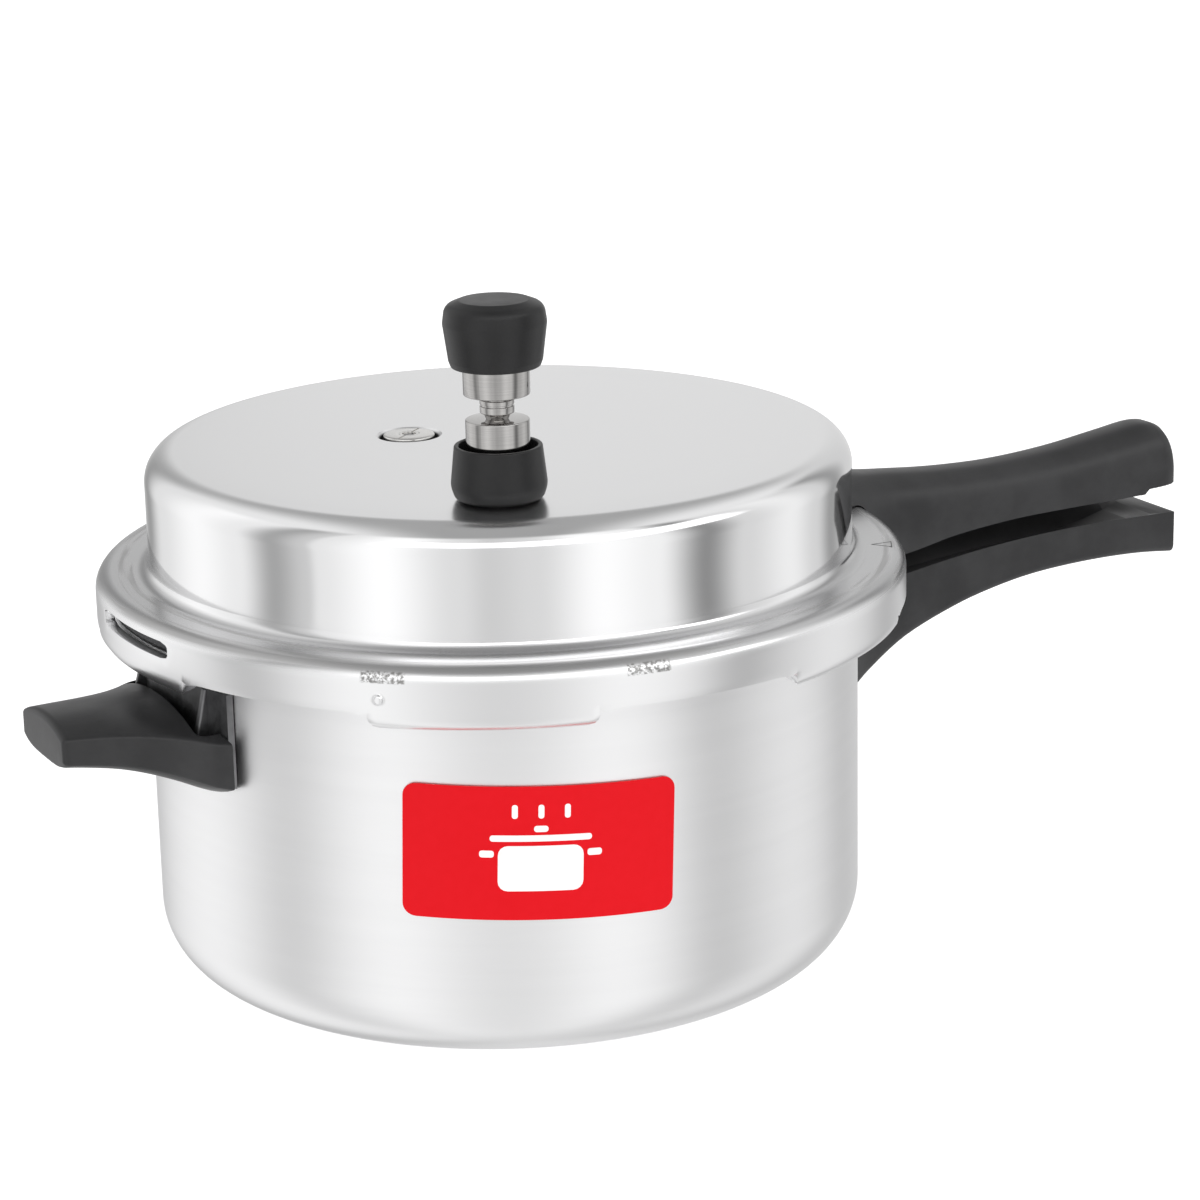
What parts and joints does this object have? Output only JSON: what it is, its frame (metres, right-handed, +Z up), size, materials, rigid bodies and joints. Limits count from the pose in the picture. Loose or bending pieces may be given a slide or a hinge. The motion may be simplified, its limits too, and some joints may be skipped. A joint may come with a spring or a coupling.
{
  "type": "stovetop pressure cooker",
  "caption": "Aluminium stovetop pressure cooker with an outer twist-lock lid, a weight valve, paired long handles and a helper handle.",
  "frame": {"origin": "centre of the pot's flat base, on the surface it stands on", "axes": "+Z up along the pot's axis, +X along the two long handles with the lid locked, +Y to their left"},
  "size_m": [0.4234, 0.2646, 0.2342],
  "materials": {
    "pot_aluminium": "satin, finely brushed round the body",
    "lid_aluminium": "polished wall and flange, satin top",
    "rivet_aluminium": "satin",
    "bracket_steel": "dull pressed sheet",
    "turned_steel": "turned and polished",
    "plated_brass": "nickel plated",
    "fusible_alloy": "dull cast low-melting alloy",
    "black_phenolic": "moulded, satin",
    "gasket_rubber": "matt",
    "red_label": "printed foil with rounded corners"
  },
  "bodies": {
    "pot": {"pot_body": "pot_aluminium", "label": "red_label", "pot_bracket": "bracket_steel", "pot_rivet_1": "rivet_aluminium", "pot_rivet_2": "rivet_aluminium", "pot_rivet_3": "rivet_aluminium", "pot_handle": "black_phenolic", "pot_handle_screw": "turned_steel", "helper_bracket": "bracket_steel", "helper_rivet_1": "rivet_aluminium", "helper_rivet_2": "rivet_aluminium", "helper_handle": "black_phenolic", "helper_handle_screw": "turned_steel"},
    "gasket": {"gasket": "gasket_rubber"},
    "lid": {"lid_shell": "lid_aluminium", "lid_bracket": "bracket_steel", "lid_rivet_1": "rivet_aluminium", "lid_rivet_2": "rivet_aluminium", "lid_handle": "black_phenolic", "lid_handle_screw": "turned_steel", "vent_tube": "turned_steel", "vent_washer": "gasket_rubber", "vent_nut": "turned_steel", "safety_plug_body": "plated_brass", "safety_plug_fuse": "fusible_alloy", "safety_plug_washer": "gasket_rubber", "safety_plug_nut": "plated_brass"},
    "valve_clip": {"weight_clip": "turned_steel"},
    "weight": {"weight_core": "turned_steel", "weight_knob": "black_phenolic", "weight_skirt": "black_phenolic"}
  },
  "joints": [
    {"name": "lid_lift", "type": "slide", "parent": "pot", "child": "gasket", "axis": [0, 0, 1], "range_m": [0, 0.12]},
    {"name": "lid_turn", "type": "hinge", "parent": "gasket", "child": "lid", "pos_m": [0, 0, 0.1252], "axis": [0, 0, 1], "range_deg": [0, 30]},
    {"name": "weight_lift", "type": "slide", "parent": "lid", "child": "valve_clip", "axis": [0, 0, 1], "range_m": [0, 0.04]},
    {"name": "weight_spin", "type": "hinge", "parent": "valve_clip", "child": "weight", "pos_m": [-0.03621, -0.07424, 0.1728], "axis": [0, 0, 1], "continuous": true}
  ]
}
